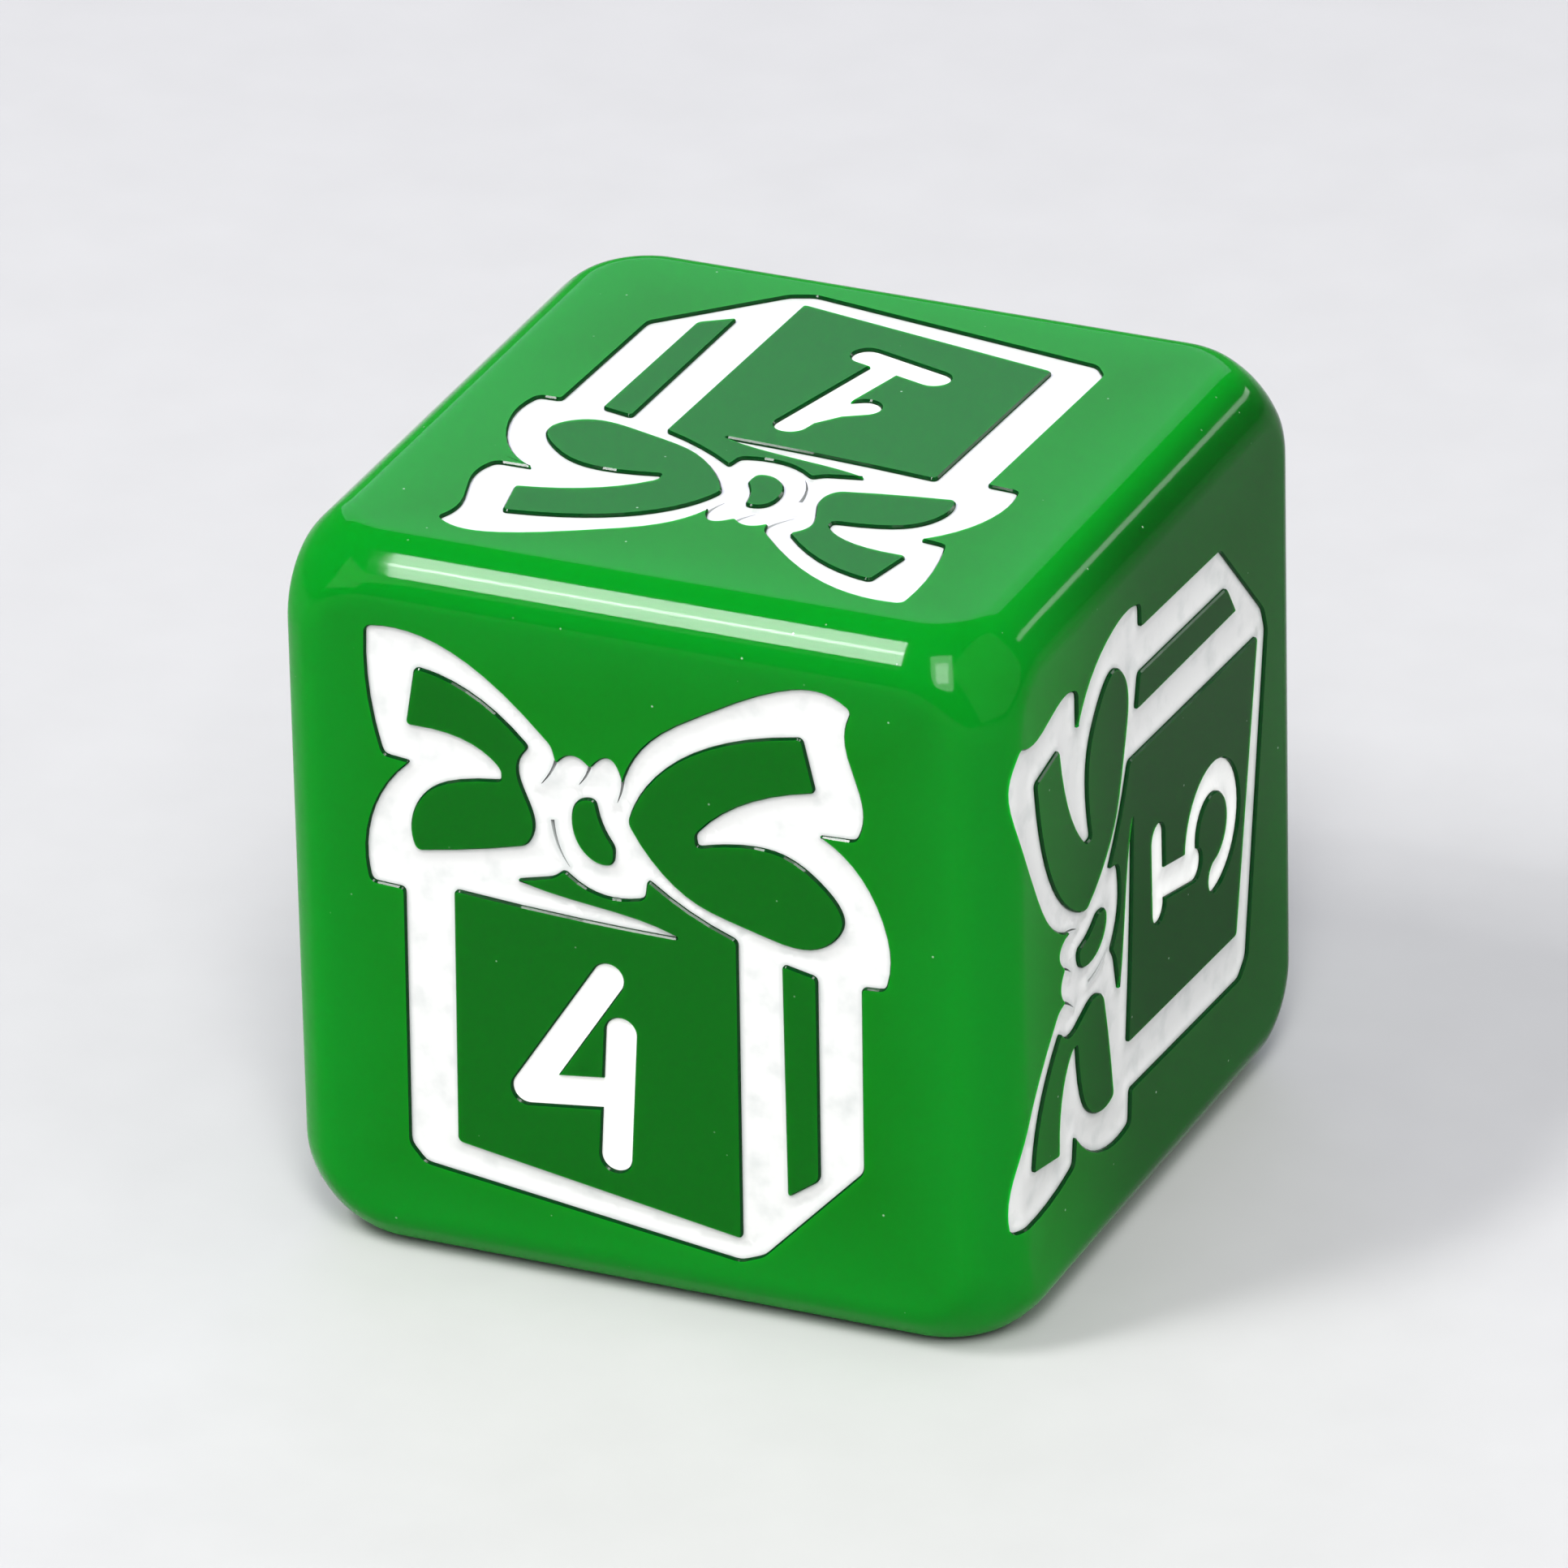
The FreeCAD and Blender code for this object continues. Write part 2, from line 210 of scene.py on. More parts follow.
class DiePaintSettings(bpy.types.PropertyGroup):
    """The white paint in the engravings."""
    mesh_step: bpy.props.FloatProperty(
        name="Mesh Step", description="Spacing of the grid that the paint's surface is cut into",
        default=0.14 * MM, unit="LENGTH")
    dish: bpy.props.FloatProperty(
        name="Dish", description="How far the paint sinks between the walls of its groove",
        default=0.05 * MM, unit="LENGTH")
    dish_reach: bpy.props.FloatProperty(
        name="Dish Reach", description="Distance from a wall at which the sinking levels off",
        default=0.28 * MM, unit="LENGTH")
    fold_width: bpy.props.FloatProperty(
        name="Fold Width", description="Width of the folds in the knot where they start",
        default=0.07 * MM, unit="LENGTH")
    fold_depth: bpy.props.FloatProperty(
        name="Fold Depth", description="Depth of the folds in the knot below the face",
        default=0.22 * MM, unit="LENGTH")
    colour: bpy.props.FloatVectorProperty(
        name="Paint Colour", description="Colour of the paint in open places",
        subtype="COLOR", size=3, default=(0.69, 0.69, 0.68))
    # Painted shade: the paint turns to this grey beside its walls; the random smudges use it too.
    wall_shade_and_smudge_colour: bpy.props.FloatVectorProperty(
        name="Wall Shade And Smudge Colour", description="Colour of the paint where it is thin or dusty",
        subtype="COLOR", size=3, default=(0.52, 0.54, 0.53))


class DieStageSettings(bpy.types.PropertyGroup):
    """Floor, lights and camera."""
    camera_distance: bpy.props.FloatProperty(
        name="Camera Distance", description="From the camera to the point it is aimed at",
        default=333.03 * MM, unit="LENGTH")
    camera_azimuth: bpy.props.FloatProperty(
        name="Camera Azimuth", description="How far the camera stands round from the 4 to the 5",
        default=math.radians(24.2), unit="ROTATION")
    camera_elevation: bpy.props.FloatProperty(
        name="Camera Elevation", description="How far the camera stands above the die's middle",
        default=math.radians(26.67), unit="ROTATION")
    camera_roll: bpy.props.FloatProperty(
        name="Camera Roll", description="Turn of the camera about its line of sight",
        default=math.radians(-1.29), unit="ROTATION")
    lens: bpy.props.FloatProperty(
        name="Lens", description="Focal length in millimetres on a 36 mm sensor",
        default=373.4)
    floor_colour: bpy.props.FloatVectorProperty(
        name="Floor Colour", description="Colour of the plain floor",
        subtype="COLOR", size=3, default=(0.5, 0.5, 0.495))


# ---------------------------------------------------------------- mesh tools
def deselect_all():
    """Leaves edit mode and deselects everything, the CAD nodes too."""
    if bpy.context.object and bpy.context.object.mode == "EDIT":
        bpy.ops.object.mode_set(mode="OBJECT")
    bpy.ops.object.select_all(action="DESELECT")


def make_active(piece):
    """Selects one piece and nothing else."""
    deselect_all()
    piece.select_set(True)
    bpy.context.view_layer.objects.active = piece


def merged_copy(node, name):
    """A copy of a CAD node, with its loose triangles merged."""
    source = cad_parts[node]
    piece = bpy.data.objects.new(name, source.data.copy())
    bpy.context.scene.collection.objects.link(piece)
    piece.data.materials.clear()
    make_active(piece)
    bpy.ops.object.mode_set(mode="EDIT")
    bpy.ops.mesh.select_all(action="SELECT")
    bpy.ops.mesh.remove_doubles(threshold=1e-7)
    bpy.ops.object.mode_set(mode="OBJECT")
    return piece


def faces_out(face, outward):
    """Whether a face is on a piece's outer side, and not one of its walls or its floor."""
    return face.normal.dot(outward) > OUTER_LEAN


def subtract(piece, cutter):
    """Cuts one object out of another, and removes the cutter."""
    make_active(piece)
    cut = piece.modifiers.new("cut", "BOOLEAN")
    cut.operation = "DIFFERENCE"
    cut.solver = "MANIFOLD"
    cut.object = cutter
    bpy.ops.object.modifier_apply(modifier=cut.name)
    bpy.data.objects.remove(cutter)


def finish_piece(piece, material, slot, *nodes):
    """Gives a piece its material, hangs it under the root empty and hides the CAD nodes it stands
    for.
    """
    piece.data.materials.clear()
    piece.data.materials.append(material)
    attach(piece, "root")
    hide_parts(*nodes)


# ---------------------------------------------------------------- materials
def node_material(name):
    """A new material, with its nodes, its links and its shader."""
    material = bpy.data.materials.new(name)
    material.use_nodes = True
    nodes = material.node_tree.nodes
    return material, nodes, material.node_tree.links, nodes["Principled BSDF"]


def object_coordinates(nodes):
    """Places on the piece, in metres."""
    return nodes.new("ShaderNodeTexCoord").outputs["Object"]


def noise(nodes, links, place, scale, detail=3.0, roughness=0.5):
    """A cloudy pattern; scale is in repeats to the metre."""
    pattern = nodes.new("ShaderNodeTexNoise")
    pattern.inputs["Scale"].default_value = scale
    pattern.inputs["Detail"].default_value = detail
    pattern.inputs["Roughness"].default_value = roughness
    links.new(place, pattern.inputs["Vector"])
    return pattern.outputs["Fac"]


def ramp(nodes, links, value, low, high, low_colour, high_colour):
    """A colour that goes from one to the other as the value passes from low to high."""
    step = nodes.new("ShaderNodeValToRGB")
    step.color_ramp.elements[0].position = low
    step.color_ramp.elements[1].position = high
    step.color_ramp.elements[0].color = (*low_colour, 1)
    step.color_ramp.elements[1].color = (*high_colour, 1)
    links.new(value, step.inputs["Fac"])
    return step.outputs["Color"]


def blend(nodes, links, share, first, second, way="MIX"):
    """The first colour, with this share of a plain second one mixed in or multiplied on."""
    mix = nodes.new("ShaderNodeMix")
    mix.data_type = "RGBA"
    mix.blend_type = way
    links.new(share, mix.inputs["Factor"])
    links.new(first, mix.inputs["A"])
    mix.inputs["B"].default_value = (*second, 1)
    return mix.outputs["Result"]


def attribute(nodes, name):
    """A number that the mesh carries."""
    reader = nodes.new("ShaderNodeAttribute")
    reader.attribute_name = name
    return reader.outputs["Fac"]


def math_node(nodes, links, operation, first, second):
    """What an operation makes of two values, each a plain number or another node's result."""
    step = nodes.new("ShaderNodeMath")
    step.operation = operation
    for socket, value in zip(step.inputs, (first, second)):
        if isinstance(value, float):
            socket.default_value = value
        else:
            links.new(value, socket)
    return step.outputs[0]


def from_centre(nodes, links, place):
    """A place's X, Y and Z from the middle of the block."""
    centred = nodes.new("ShaderNodeVectorMath")
    centred.operation = "SUBTRACT"
    links.new(place, centred.inputs[0])
    centred.inputs[1].default_value = CENTRE
    parts = nodes.new("ShaderNodeSeparateXYZ")
    links.new(centred.outputs[0], parts.inputs[0])
    return parts.outputs


def rise(nodes, links, value, low, high):
    """A soft step from 0 to 1 as the value passes from low to high."""
    step = nodes.new("ShaderNodeMapRange")
    step.interpolation_type = "SMOOTHSTEP"
    links.new(value, step.inputs["Value"])
    step.inputs["From Min"].default_value = low
    step.inputs["From Max"].default_value = high
    return step.outputs["Result"]


def edge_share(nodes, links, place):
    """Mask of the painted edge glow: 0 in the middle of a face, rising to 1 along the block's edges
    and corners.

    A place is near an edge when the second largest of its three distances from the middle is.
    """
    x, y, z = [math_node(nodes, links, "ABSOLUTE", part, 0.0)
               for part in from_centre(nodes, links, place)]
    second = math_node(nodes, links, "MAXIMUM",
                       math_node(nodes, links, "MINIMUM", x, y),
                       math_node(nodes, links, "MINIMUM",
                                 math_node(nodes, links, "MAXIMUM", x, y), z))
    return rise(nodes, links, second, *[share * HALF for share in EDGE_GLOW])


def far_shade_mask(nodes, links, place):
    """Mask of the painted shade: 0 but on the 5 face, where it rises from the 4's edge to the
    middle.
    """
    x, y, _ = from_centre(nodes, links, place)
    return math_node(nodes, links, "MULTIPLY",
                     rise(nodes, links, x, *[share * HALF for share in FAR_SIDE]),
                     rise(nodes, links, y, *[share * HALF for share in FAR_ALONG]))


def grey(value):
    """A grey of this value."""
    return (value, value, value)


def dust_share(nodes, links, place):
    """1 on small round specks, few and far between, and 0 elsewhere."""
    specks = nodes.new("ShaderNodeTexVoronoi")
    specks.inputs["Scale"].default_value = SPECK_SCALE
    links.new(place, specks.inputs["Vector"])
    chance = nodes.new("ShaderNodeTexWhiteNoise")
    links.new(specks.outputs["Position"], chance.inputs["Vector"])
    spots = ramp(nodes, links, specks.outputs["Distance"], 0.025, 0.055, grey(1), grey(0))
    few = ramp(nodes, links, chance.outputs["Value"], 0.62, 0.9, grey(0), grey(1))
    return math_node(nodes, links, "MULTIPLY", spots, few)


def add_relief(nodes, links, shader, height, strength, depth):
    """Makes a surface slightly uneven after a pattern."""
    relief = nodes.new("ShaderNodeBump")
    relief.inputs["Strength"].default_value = strength
    relief.inputs["Distance"].default_value = depth
    links.new(height, relief.inputs["Height"])
    links.new(relief.outputs["Normal"], shader.inputs["Normal"])


def resin_material():
    """Glossy green resin, a little cloudy inside, with fine smears and specks of dust; a painted
    glow on its edges and painted shade on the enclosed islands, far along the 5 face and in the
    engravings.
    """
    settings = bpy.context.scene.die_resin
    material, nodes, links, shader = node_material("green_resin")
    place = object_coordinates(nodes)
    cloud = noise(nodes, links, place, CLOUD_SCALE)
    body = ramp(nodes, links, cloud, 0.35, 0.7, settings.colour, settings.cloudy_colour)
    # Painted glow: brighter resin along the block's edges and corners.
    body = blend(nodes, links, edge_share(nodes, links, place), body, settings.edge_painted_glow)
    # Painted shade: darker resin on the islands that the paint encloses.
    body = blend(nodes, links, attribute(nodes, "island"), body, settings.island_painted_shade)
    # Painted shade: the resin darkens along the 5 face, away from the 4's edge.
    body = blend(nodes, links, far_shade_mask(nodes, links, place), body, grey(settings.far_shade_level),
                 "MULTIPLY")
    body = blend(nodes, links, dust_share(nodes, links, place), body, settings.dust_colour)
    # Painted shade: dark resin on the engravings' walls and lips.
    body = blend(nodes, links, attribute(nodes, "engraved"), body, settings.groove_painted_shade)
    links.new(body, shader.inputs["Base Color"])

    smear = noise(nodes, links, place, SMEAR_SCALE, 5.0, 0.6)
    links.new(ramp(nodes, links, smear, 0.3, 0.75, grey(settings.roughness * 0.75),
                   grey(settings.roughness * 1.35)), shader.inputs["Roughness"])
    add_relief(nodes, links, shader, noise(nodes, links, place, RESIN_RELIEF_SCALE, 4.0),
               0.12, 0.01 * MM)

    shader.inputs["IOR"].default_value = 1.5
    shader.inputs["Subsurface Weight"].default_value = settings.translucency
    shader.inputs["Subsurface Radius"].default_value = (0.25, 1.0, 0.35)
    shader.inputs["Subsurface Scale"].default_value = 0.8 * MM
    # A low level with a strong tint keeps the highlights and dims glancing reflections.
    shader.inputs["Specular IOR Level"].default_value = 0.02
    shader.inputs["Specular Tint"].default_value = (6.0, 6.0, 6.0, 1)
    return material


def paint_material():
    """White enamel: slightly uneven and smudged, with painted shade where it lies beside a wall."""
    settings = bpy.context.scene.die_paint
    material, nodes, links, shader = node_material("white_paint")
    place = object_coordinates(nodes)
    uneven = noise(nodes, links, place, PAINT_CLOUD_SCALE, 4.0)
    # Painted shade: the paint is greyer near its walls, with random unevenness mixed in.
    wall_shade_and_tone = math_node(nodes, links, "ADD", math_node(nodes, links, "MULTIPLY", uneven, 0.35),
                          attribute(nodes, "wall"))
    body = ramp(nodes, links, wall_shade_and_tone, 0.1, 0.5, settings.wall_shade_and_smudge_colour, settings.colour)
    smudge = ramp(nodes, links, noise(nodes, links, place, SMUDGE_SCALE), 0.5, 0.75,
                  grey(0), grey(0.75))
    body = blend(nodes, links, smudge, body, settings.wall_shade_and_smudge_colour)
    links.new(body, shader.inputs["Base Color"])
    links.new(ramp(nodes, links, uneven, 0.3, 0.7, grey(0.28), grey(0.42)),
              shader.inputs["Roughness"])
    add_relief(nodes, links, shader, noise(nodes, links, place, PAINT_RELIEF_SCALE, 5.0),
               0.25, 0.02 * MM)
    shader.inputs["IOR"].default_value = 1.48
    return material


def floor_material():
    """Plain matt card with a faint tooth."""
    settings = bpy.context.scene.die_stage
    material, nodes, links, shader = node_material("stage_card")
    place = object_coordinates(nodes)
    tone = noise(nodes, links, place, CARD_SCALE, 4.0)
    dark = [channel * 0.97 for channel in settings.floor_colour]
    links.new(ramp(nodes, links, tone, 0.3, 0.7, dark, settings.floor_colour),
              shader.inputs["Base Color"])
    shader.inputs["Roughness"].default_value = 0.85
    return material


# ---------------------------------------------------------------- the block
def on_round_square(parts, inner, reach):
    """The nearest place on a box of this half size, swollen by reach."""
    near = Vector([max(-inner, min(inner, part)) for part in parts])
    off = Vector(parts) - near
    return near + off * (reach / off.length)


def core_point(place):
    """The nearest point of the block's core, which lies one rim radius below its surface."""
    settings = bpy.context.scene.die_resin
    core = HALF - settings.rim_radius
    inner = HALF + settings.face_trim - settings.corner_radius
    reach = settings.corner_radius - settings.rim_radius
    boxed = Vector([max(-core, min(core, part)) for part in place])
    if (boxed - Vector([max(-inner, min(inner, part)) for part in boxed])).length <= reach:
        return boxed
    swollen = on_round_square(place, inner, reach)
    if max(abs(part) for part in swollen) <= core:
        return swollen
    main = max(range(3), key=lambda axis: abs(place[axis]))
    others = [axis for axis in range(3) if axis != main]
    side = math.sqrt(reach ** 2 - (core - inner) ** 2)
    ring = on_round_square([place[axis] for axis in others], inner, side)
    edge = Vector((0, 0, 0))
    edge[main] = math.copysign(core, place[main])
    edge[others[0]], edge[others[1]] = ring
    return edge


def surface_normal(spot):
    """The way out of the block's smooth surface at a spot on it."""
    place = spot - CENTRE
    return (place - core_point(place)).normalized()


def cut_lines():
    """Where the block's mesh is cut across: close together over the rounded edges and corners."""
    settings = bpy.context.scene.die_resin
    inner = HALF + settings.face_trim - settings.corner_radius
    reach = settings.corner_radius - settings.rim_radius
    flat_end = inner + math.sqrt(reach ** 2 - (HALF - settings.rim_radius - inner) ** 2)
    lines = [inner * strip / FLAT_STRIPS for strip in range(1, FLAT_STRIPS)]
    lines += [inner + (flat_end - inner) * strip / CORNER_STRIPS
              for strip in range(CORNER_STRIPS)]
    lines += [flat_end + settings.rim_radius * math.tan(math.radians(turn))
              for turn in range(0, LAST_RIM_TURN, RIM_TURN)]
    lines += [HALF - margin for margin in LAST_STRIPS if HALF - margin > lines[-1]]
    return sorted([0.0] + lines + [-line for line in lines])


def rounded_block():
    """A cube, cut into a mesh and pressed on to the rounded shape."""
    radius = bpy.context.scene.die_resin.rim_radius
    bpy.ops.mesh.primitive_cube_add(size=EDGE, location=CENTRE)
    piece = bpy.context.object
    piece.name = "resin_block"
    bpy.ops.object.transform_apply(location=True, rotation=True, scale=True)
    bpy.ops.object.mode_set(mode="EDIT")
    for axis in range(3):
        normal = [0, 0, 0]
        normal[axis] = 1
        for line in cut_lines():
            spot = CENTRE.copy()
            spot[axis] += line
            bpy.ops.mesh.select_all(action="SELECT")
            bpy.ops.mesh.bisect(plane_co=spot, plane_no=normal)
    bpy.ops.object.mode_set(mode="OBJECT")
    for vertex in piece.data.vertices:
        nearest = core_point(vertex.co - CENTRE)
        vertex.co = CENTRE + nearest + (vertex.co - CENTRE - nearest).normalized() * radius
    return piece


def widen(mesh, faces, outward, up, out):
    """Extrudes a top upwards, its outline pushed outwards within the face."""
    sides = {}
    for face in faces:
        for edge in face.edges:
            for other in edge.link_faces:
                if other not in faces:
                    for vertex in edge.verts:
                        sides.setdefault(vertex, []).append(other.normal)
    shifts = {}
    for vertex, normals in sides.items():
        ways = [(normal - outward * normal.dot(outward)).normalized() for normal in normals]
        total = sum(ways, Vector((0, 0, 0))).normalized()
        shifts[vertex] = total * (out / max(LEAST_CORNER, total.dot(ways[0])))
    places = {tuple(vertex.co): shift for vertex, shift in shifts.items()}
    grown = bmesh.ops.extrude_face_region(mesh, geom=list(faces))["geom"]
    bmesh.ops.delete(mesh, geom=list(faces), context="FACES_ONLY")
    for item in grown:
        if isinstance(item, bmesh.types.BMVert):
            item.co += places.get(tuple(item.co), Vector((0, 0, 0))) + outward * up
    mesh.normal_update()
    return {item for item in grown if isinstance(item, bmesh.types.BMFace)}


def engraving_cutter(node):
    """The room of one engraving: the CAD paint, with a sloping lip, carried on past the face."""
    outward = OUTWARD[node.rsplit("_", 1)[1]]
    lip = bpy.context.scene.die_resin.lip
    piece = merged_copy(node, node + "_cutter")
    mesh = bmesh.new()
    mesh.from_mesh(piece.data)
    mesh.normal_update()
    top = {face for face in mesh.faces if faces_out(face, outward)}
    tops = {vertex for face in top for vertex in face.verts}
    recess = HALF - max((vertex.co - CENTRE).dot(outward) for vertex in tops)
    for vertex in tops:
        vertex.co += outward * (recess - lip)
    top = widen(mesh, top, outward, lip * LIP_SPREAD, lip * LIP_SPREAD)
    widen(mesh, top, outward, CUTTER_RISE, 0.0)
    mesh.to_mesh(piece.data)
    mesh.free()
    return piece


def smooth_surface(piece):
    """Shades the block as its true rounded surface, and leaves the engravings' walls plain."""
    make_active(piece)
    bpy.ops.object.shade_smooth()
    mesh = piece.data
    engraved = mesh.attributes.new("engraved", "FLOAT", "FACE")
    true = [surface_normal(vertex.co) for vertex in mesh.vertices]
    normals = [None] * len(mesh.loops)
    for face in mesh.polygons:
        lean = min(true[vertex].dot(face.normal) for vertex in face.vertices)
        inside = lean < SMOOTH_LEAN
        engraved.data[face.index].value = float(inside)
        for loop, vertex in zip(face.loop_indices, face.vertices):
            normals[loop] = face.normal.copy() if inside else true[vertex]
    mesh.normals_split_custom_set(normals)
    mark_islands(mesh, engraved)


def mark_islands(mesh, engraved):
    """Marks the parts of the block's surface that the paint encloses, which the resin darkens with
    painted shade.
    """
    neighbours = {}
    for face in mesh.polygons:
        if engraved.data[face.index].value < 0.5:
            for edge in face.edge_keys:
                neighbours.setdefault(edge, []).append(face.index)
    patches = []
    left = {face for faces in neighbours.values() for face in faces}
    while left:
        patch, front = set(), [left.pop()]
        while front:
            face = front.pop()
            patch.add(face)
            for edge in mesh.polygons[face].edge_keys:
                for other in neighbours[edge]:
                    if other in left:
                        left.remove(other)
                        front.append(other)
        patches.append(patch)
    patches.sort(key=len)
    island = mesh.attributes.new("island", "FLOAT", "FACE")
    for patch in patches[:-1]:
        for face in patch:
            island.data[face].value = 1.0


class DIE_OT_resin_block(bpy.types.Operator):
    """Model the resin block and cut the six engravings into it"""
    bl_idname = "die.resin_block"
    bl_label = "Resin Block"

    def execute(self, context):
        deselect_all()
        piece = rounded_block()
        for kind in ("gift_box_paint_", "numeral_paint_"):
            for number in NUMBERS:
                subtract(piece, engraving_cutter(kind + number))
        smooth_surface(piece)
        finish_piece(piece, resin_material(), "green_resin", "die_body")
        return {"FINISHED"}


# ---------------------------------------------------------------- the paint
def grid_cut(piece, outward, step):
    """Cuts the paint's surface into a fine grid, so that it can be shaped."""
    mesh = bmesh.new()
    mesh.from_mesh(piece.data)
    axes = [axis for axis in range(3) if abs(outward[axis]) < 0.5]
    for axis in axes:
        low = min(vertex.co[axis] for vertex in mesh.verts)
        high = max(vertex.co[axis] for vertex in mesh.verts)
        normal = Vector((0, 0, 0))
        normal[axis] = 1
        count = int((high - low) / step)
        for index in range(1, count + 1):
            spot = Vector((0, 0, 0))
            spot[axis] = low + (index - GRID_START) * (high - low) / count
            top = [face for face in mesh.faces if faces_out(face, outward)]
            edges = {edge for face in top for edge in face.edges}
            verts = {vertex for face in top for vertex in face.verts}
            bmesh.ops.bisect_plane(mesh, geom=top + list(edges) + list(verts), dist=1e-8,
                                   plane_co=spot, plane_no=normal)
    mesh.to_mesh(piece.data)
    mesh.free()


def dish_paint(piece, outward):
    """Sinks the paint between its walls and notes how near each place is to a wall.

    Returns the way out of the sunken surface at each of its vertices.
    """
    settings = bpy.context.scene.die_paint
    mesh = bmesh.new()
    mesh.from_mesh(piece.data)
    mesh.normal_update()
    walls = [edge for edge in mesh.edges
             if len(edge.link_faces) == 2 and edge.calc_face_angle(0.0) > WALL_TURN
             and any(faces_out(face, outward) for face in edge.link_faces)]
    spots = []
    for edge in walls:
        start, end = edge.verts[0].co, edge.verts[1].co
        steps = max(1, int((end - start).length / RIM_SPACING))
        spots += [start.lerp(end, step / steps) for step in range(steps + 1)]
    tree = KDTree(len(spots))
    for index, spot in enumerate(spots):
        tree.insert(spot, index)
    tree.balance()
    wall_layer = mesh.verts.layers.float.new("wall")
    mesh.verts.index_update()
    smooth = {}
    for vertex in mesh.verts:
        if not any(faces_out(face, outward) for face in vertex.link_faces):
            continue
        wall, _, distance = tree.find(vertex.co)
        fall = math.exp(-(distance / settings.dish_reach) ** 2 * 2)
        slope = 4 * settings.dish * distance * fall / settings.dish_reach ** 2
        straight = surface_normal(vertex.co)
        inward = vertex.co - wall
        inward -= straight * inward.dot(straight)
        smooth[vertex.index] = (straight + inward.normalized() * slope).normalized()
        vertex[wall_layer] = 1 - fall
        vertex.co -= outward * settings.dish * (1 - fall)
    mesh.to_mesh(piece.data)
    mesh.free()
    return smooth


def shade_paint(piece, outward, smooth):
    """Shades the paint's surface as one smooth dish, and leaves its walls plain."""
    make_active(piece)
    bpy.ops.object.shade_smooth()
    mesh = piece.data
    normals = [None] * len(mesh.loops)
    for face in mesh.polygons:
        outer = faces_out(face, outward)
        for loop, vertex in zip(face.loop_indices, face.vertices):
            normals[loop] = smooth[vertex] if outer else face.normal.copy()
    mesh.normals_split_custom_set(normals)


def on_drawing(point, number):
    """Where a point of the drawing lies, at the level of its face."""
    right, up, (shift_right, shift_up), turn, size = DRAWINGS[number]
    angle = math.radians(turn)
    across = (point[0] * math.cos(angle) - point[1] * math.sin(angle)) * size + shift_right
    along = (point[0] * math.sin(angle) + point[1] * math.cos(angle)) * size + shift_up
    return CENTRE + (OUTWARD[number] * 50 + right * across + up * along) * (EDGE / 100)


def cut_folds(piece, number):
    """Cuts the thin folds of the bow's knot into the paint."""
    settings = bpy.context.scene.die_paint
    outward = OUTWARD[number]
    mesh = bmesh.new()
    depth, rise_above = -settings.fold_depth, FOLD_CUTTER_RISE
    section = ((-1, depth), (1, depth), (1, rise_above), (-1, rise_above))
    last = FOLD_POINTS - 1
    for fold in FOLDS:
        places = interpolate_bezier(*[on_drawing(point, number) for point in fold], FOLD_POINTS)
        rows = []
        for index, place in enumerate(places):
            ahead = places[min(index + 1, last)] - places[max(index - 1, 0)]
            width = settings.fold_width * (FOLD_TAPER - index / last)
            side = ahead.cross(outward).normalized() * (width / 2)
            rows.append([mesh.verts.new(place + way * side + outward * level)
                         for way, level in section])
        mesh.faces.new(rows[0])
        mesh.faces.new(rows[-1][::-1])
        for row, following in zip(rows, rows[1:]):
            for corner in range(len(section)):
                after = (corner + 1) % len(section)
                mesh.faces.new([row[after], row[corner], following[corner], following[after]])
    bmesh.ops.recalc_face_normals(mesh, faces=mesh.faces)
    cutter = bpy.data.objects.new("fold_cutter", bpy.data.meshes.new("fold_cutter"))
    mesh.to_mesh(cutter.data)
    mesh.free()
    bpy.context.scene.collection.objects.link(cutter)
    subtract(piece, cutter)


def paint_piece(node, material):
    """The paint of one engraving."""
    number = node.rsplit("_", 1)[1]
    outward = OUTWARD[number]
    piece = merged_copy(node, node.replace("_paint_", "_enamel_"))
    if node.startswith("gift_box"):
        cut_folds(piece, number)
    step = bpy.context.scene.die_paint.mesh_step
    grid_cut(piece, outward, step)
    shade_paint(piece, outward, dish_paint(piece, outward))
    finish_piece(piece, material, "white_paint", node)


class DIE_OT_gift_box_paint(bpy.types.Operator):
    """Model the paint of the six gift boxes"""
    bl_idname = "die.gift_box_paint"
    bl_label = "Gift-Box Paint"

    def execute(self, context):
        material = paint_material()
        for number in NUMBERS:
            paint_piece("gift_box_paint_" + number, material)
        return {"FINISHED"}


class DIE_OT_numeral_paint(bpy.types.Operator):
    """Model the paint of the six numerals"""
    bl_idname = "die.numeral_paint"
    bl_label = "Numeral Paint"

    def execute(self, context):
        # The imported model's own plain white paint has this name, so the numerals wear that one.
        material = bpy.data.materials.get("white_paint") or paint_material()
        for number in NUMBERS:
            paint_piece("numeral_paint_" + number, material)
        return {"FINISHED"}


# ---------------------------------------------------------------- the stage
def softbox(name, direction, distance, along, size, power, colour):
    """An area light that faces the die from a direction, its long side along a given way."""
    light = bpy.data.lights.new(name, "AREA")
    light.color = colour
    light.shape = "RECTANGLE"
    light.size, light.size_y = size
    light.energy = power
    lamp = bpy.data.objects.new(name, light)
    bpy.context.scene.collection.objects.link(lamp)
    back = Vector(direction).normalized()
    side = (Vector(along) - back * back.dot(Vector(along))).normalized()
    turn = Matrix((side, back.cross(side), back)).transposed()
    lamp.rotation_euler = turn.to_euler()
    lamp.location = CENTRE + back * distance


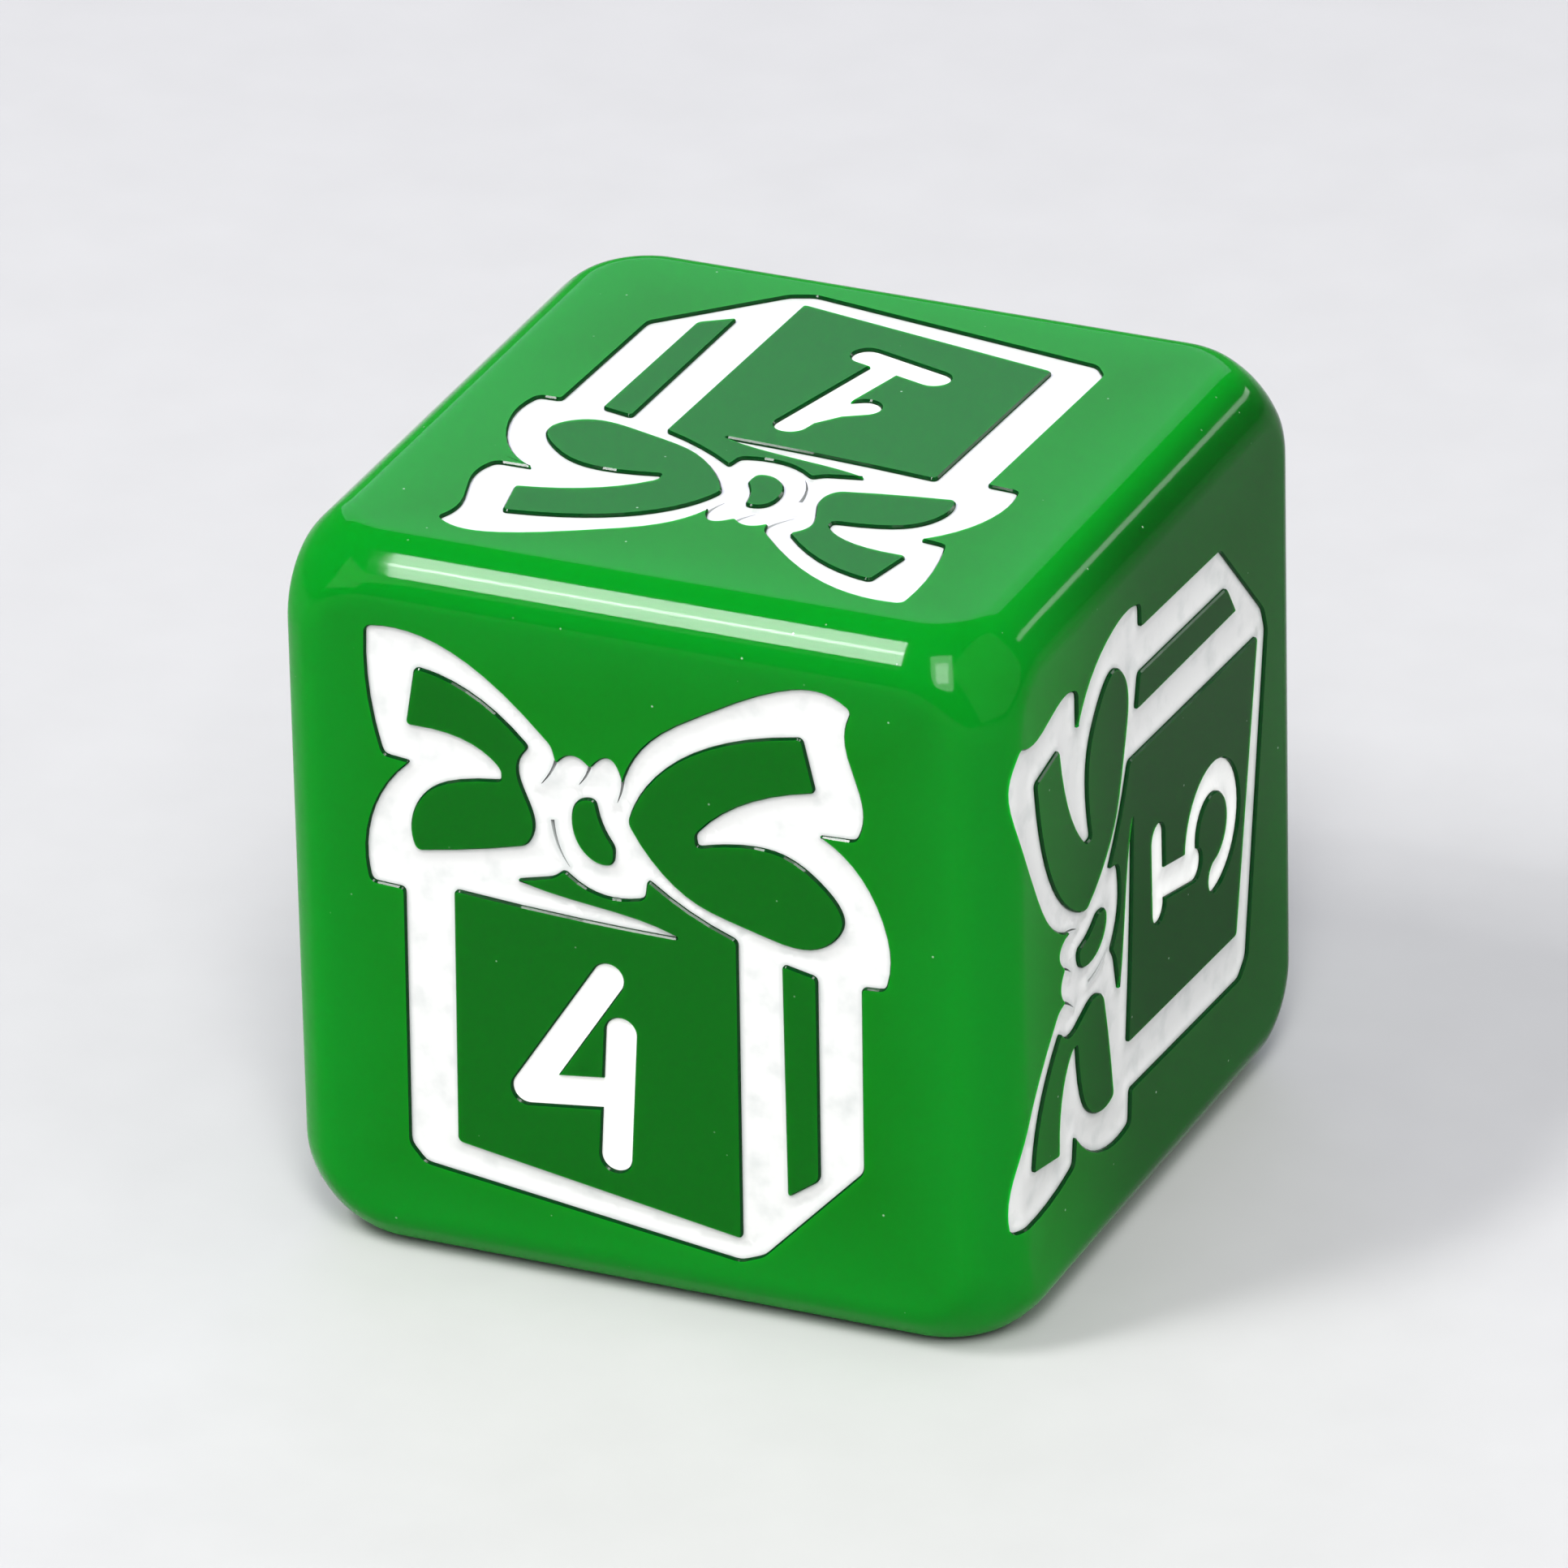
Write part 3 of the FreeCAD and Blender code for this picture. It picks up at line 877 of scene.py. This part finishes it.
def place_camera():
    """The camera, aimed close to the middle of the die from its azimuth and elevation."""
    settings = bpy.context.scene.die_stage
    camera_data = bpy.data.cameras.new("camera")
    camera_data.lens = settings.lens
    camera_data.sensor_width = SENSOR_WIDTH
    camera_data.clip_start = CLIP_START
    camera = bpy.data.objects.new("camera", camera_data)
    bpy.context.scene.collection.objects.link(camera)
    flat = math.cos(settings.camera_elevation)
    sight = Vector((math.sin(settings.camera_azimuth) * flat,
                    -math.cos(settings.camera_azimuth) * flat,
                    math.sin(settings.camera_elevation)))
    turn = (-sight).to_track_quat("-Z", "Y").to_matrix()
    turn = turn @ Matrix.Rotation(settings.camera_roll, 3, "Z")
    camera.location = AIM * EDGE + sight * settings.camera_distance
    camera.rotation_euler = turn.to_euler()
    bpy.context.scene.camera = camera


class DIE_OT_stage(bpy.types.Operator):
    """Set up the floor, the lights and the camera"""
    bl_idname = "die.stage"
    bl_label = "Stage"

    def execute(self, context):
        deselect_all()
        bpy.ops.mesh.primitive_plane_add(size=FLOOR_SIZE, location=FLOOR_PLACE)
        floor = context.object
        floor.name = "floor"
        bpy.ops.object.transform_apply(location=True, rotation=True, scale=True)
        floor.data.materials.append(floor_material())
        for name, light in LIGHTS.items():
            softbox(name, *light)
        world = bpy.data.worlds.new("studio")
        world.use_nodes = True
        surround = world.node_tree.nodes["Background"]
        surround.inputs["Color"].default_value = SURROUND_COLOUR
        surround.inputs["Strength"].default_value = SURROUND_STRENGTH
        context.scene.world = world
        context.scene.view_settings.view_transform = "Standard"
        place_camera()
        return {"FINISHED"}


class DIE_PT_panel(bpy.types.Panel):
    """Lists the die's pieces and its stage"""
    bl_label = "Gift-Box Die"
    bl_idname = "DIE_PT_panel"
    bl_space_type = "VIEW_3D"
    bl_region_type = "UI"
    bl_category = "Die"

    def draw(self, context):
        for group in SETTINGS:
            settings = getattr(context.scene, group)
            box = self.layout.box()
            for name in settings.__annotations__:
                box.prop(settings, name)
        for operator in OPERATORS:
            self.layout.operator(operator.bl_idname)


# ---------------------------------------------------------------- registration
SETTINGS = {"die_resin": DieResinSettings, "die_paint": DiePaintSettings,
            "die_stage": DieStageSettings}
OPERATORS = (DIE_OT_resin_block, DIE_OT_gift_box_paint, DIE_OT_numeral_paint, DIE_OT_stage)


def register():
    for name, group in SETTINGS.items():
        bpy.utils.register_class(group)
        setattr(bpy.types.Scene, name, bpy.props.PointerProperty(type=group))
    for operator in OPERATORS + (DIE_PT_panel,):
        bpy.utils.register_class(operator)


def unregister():
    for operator in reversed(OPERATORS + (DIE_PT_panel,)):
        bpy.utils.unregister_class(operator)
    for name, group in SETTINGS.items():
        delattr(bpy.types.Scene, name)
        bpy.utils.unregister_class(group)


def main():
    """Models every piece and the stage."""
    register()
    bpy.ops.die.stage()
    bpy.ops.die.resin_block()
    bpy.ops.die.gift_box_paint()
    bpy.ops.die.numeral_paint()
    deselect_all()
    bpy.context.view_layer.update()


if __name__ == "__main__":
    main()
